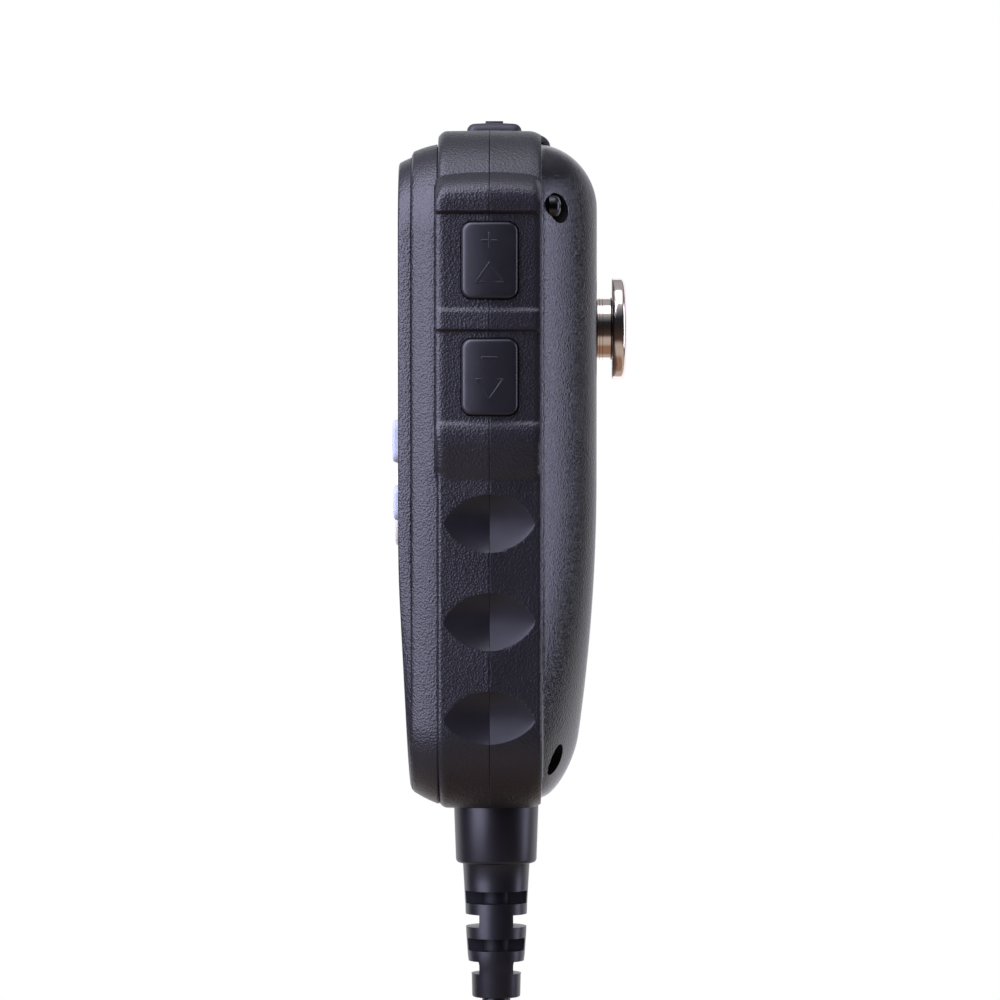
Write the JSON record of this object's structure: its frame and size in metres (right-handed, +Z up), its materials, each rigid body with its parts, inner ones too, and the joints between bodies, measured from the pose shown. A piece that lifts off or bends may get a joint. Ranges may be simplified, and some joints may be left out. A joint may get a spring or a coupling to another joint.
{
  "type": "cb radio hand microphone",
  "caption": "Hand-held radio control microphone with talk bar, keypad, display, hang-up stud, strain-relief boot and a curly cord ending in a round screw-on plug.",
  "frame": {"origin": "on the axis of the hang-up stud, where its neck leaves the back of the case", "axes": "+Z up along the case, -Y is the front with the display, +X is the side with the volume keys"},
  "size_m": [0.0633, 0.0371, 0.3429],
  "materials": {
    "case_plastic": "leather-grained matte",
    "panel_plastic": "fine matte",
    "window": "polished, smoked",
    "display": "polished",
    "display_frame": "satin",
    "light_pipe": "translucent",
    "board": "solder mask",
    "chips": "matte",
    "steel": "plated",
    "black_steel": "black oxide",
    "connector": "satin",
    "key_rubber": "matte",
    "pale_key": "translucent satin",
    "dark_key": "satin",
    "speaker_metal": "satin",
    "speaker_cone": "paper",
    "magnet": "sintered",
    "cloth": "woven",
    "capsule": "drawn",
    "rubber": "matte",
    "chrome": "turned and plated",
    "cord_jacket": "satin",
    "crimp": "plain",
    "plug_rubber": "matte",
    "plug_metal": "nickel",
    "plug_insert": "moulded",
    "contacts": "plated"
  },
  "bodies": {
    "case": {"front_shell": "case_plastic", "rear_shell": "case_plastic", "front_panel": "panel_plastic", "display_window": "window", "display_glass": "display", "display_frame": "display_frame", "status_light": "light_pipe", "main_board": "board", "volume_board": "board", "top_board": "board", "ptt_board": "board", "board_chips": "chips", "ptt_switch": "chips", "board_screws": "steel", "stud_washer": "steel", "stud_screw": "steel", "ptt_pin": "steel", "case_screws": "black_steel", "board_connector": "connector", "keypad_mat": "key_rubber", "speaker_frame": "speaker_metal", "speaker_cone": "speaker_cone", "speaker_magnet": "magnet", "grille_cloth": "cloth", "mic_capsule": "capsule", "mic_cup": "rubber", "cable_boot": "rubber", "hang_stud": "chrome", "inner_cable": "cord_jacket", "cord_lead": "cord_jacket", "curly_cord": "cord_jacket", "cord_tail": "cord_jacket", "cord_stop": "crimp", "plug_sleeve": "plug_rubber", "plug_shell": "plug_metal", "plug_insert": "plug_insert", "plug_pins": "contacts"},
    "volume_up": {"volume_up_key": "dark_key"},
    "volume_down": {"volume_down_key": "dark_key"},
    "channel_up": {"channel_up_key": "dark_key"},
    "channel_down": {"channel_down_key": "dark_key"},
    "row_left": {"row_key_left": "pale_key"},
    "row_middle": {"row_key_middle": "pale_key"},
    "row_right": {"row_key_right": "pale_key"},
    "side_left": {"side_key_left": "pale_key"},
    "side_right": {"side_key_right": "pale_key"},
    "rocker": {"rocker_ring": "pale_key"},
    "select": {"select_key": "pale_key"},
    "talk_bar": {"ptt_bar": "dark_key"},
    "coupling": {"plug_ring": "plug_metal"}
  },
  "joints": [
    {"name": "volume_up_press", "type": "slide", "parent": "case", "child": "volume_up", "axis": [-0.9986, 0, 0.0526], "range_m": [0, 0.0006], "stiffness_N_per_m": 2000},
    {"name": "volume_down_press", "type": "slide", "parent": "case", "child": "volume_down", "axis": [-0.9986, 0, 0.0526], "range_m": [0, 0.0006], "stiffness_N_per_m": 2000},
    {"name": "channel_up_press", "type": "slide", "parent": "case", "child": "channel_up", "axis": [0, 0, -1], "range_m": [0, 0.0006], "stiffness_N_per_m": 2000},
    {"name": "channel_down_press", "type": "slide", "parent": "case", "child": "channel_down", "axis": [0, 0, -1], "range_m": [0, 0.0006], "stiffness_N_per_m": 2000},
    {"name": "row_left_press", "type": "slide", "parent": "case", "child": "row_left", "axis": [0, 1, 0], "range_m": [0, 0.0006], "stiffness_N_per_m": 2000},
    {"name": "row_middle_press", "type": "slide", "parent": "case", "child": "row_middle", "axis": [0, 1, 0], "range_m": [0, 0.0006], "stiffness_N_per_m": 2000},
    {"name": "row_right_press", "type": "slide", "parent": "case", "child": "row_right", "axis": [0, 1, 0], "range_m": [0, 0.0006], "stiffness_N_per_m": 2000},
    {"name": "side_left_press", "type": "slide", "parent": "case", "child": "side_left", "axis": [0, 1, 0], "range_m": [0, 0.0006], "stiffness_N_per_m": 2000},
    {"name": "side_right_press", "type": "slide", "parent": "case", "child": "side_right", "axis": [0, 1, 0], "range_m": [0, 0.0006], "stiffness_N_per_m": 2000},
    {"name": "select_press", "type": "slide", "parent": "case", "child": "select", "axis": [0, 1, 0], "range_m": [0, 0.0006], "stiffness_N_per_m": 2000},
    {"name": "rocker_tilt", "type": "hinge", "parent": "case", "child": "rocker", "pos_m": [0, -0.02645, -0.0286], "axis": [1, 0, 0], "range_deg": [-2, 2], "stiffness_Nm_per_rad": 0.1},
    {"name": "talk_press", "type": "hinge", "parent": "case", "child": "talk_bar", "pos_m": [-0.02373, -0.0168, -0.01709], "axis": [0, 1, 0], "range_deg": [0, 3.2], "stiffness_Nm_per_rad": 1.5},
    {"name": "coupling_turn", "type": "hinge", "parent": "case", "child": "coupling", "pos_m": [0, -0.0158, -0.3006], "axis": [0, 0, 1], "continuous": true}
  ]
}
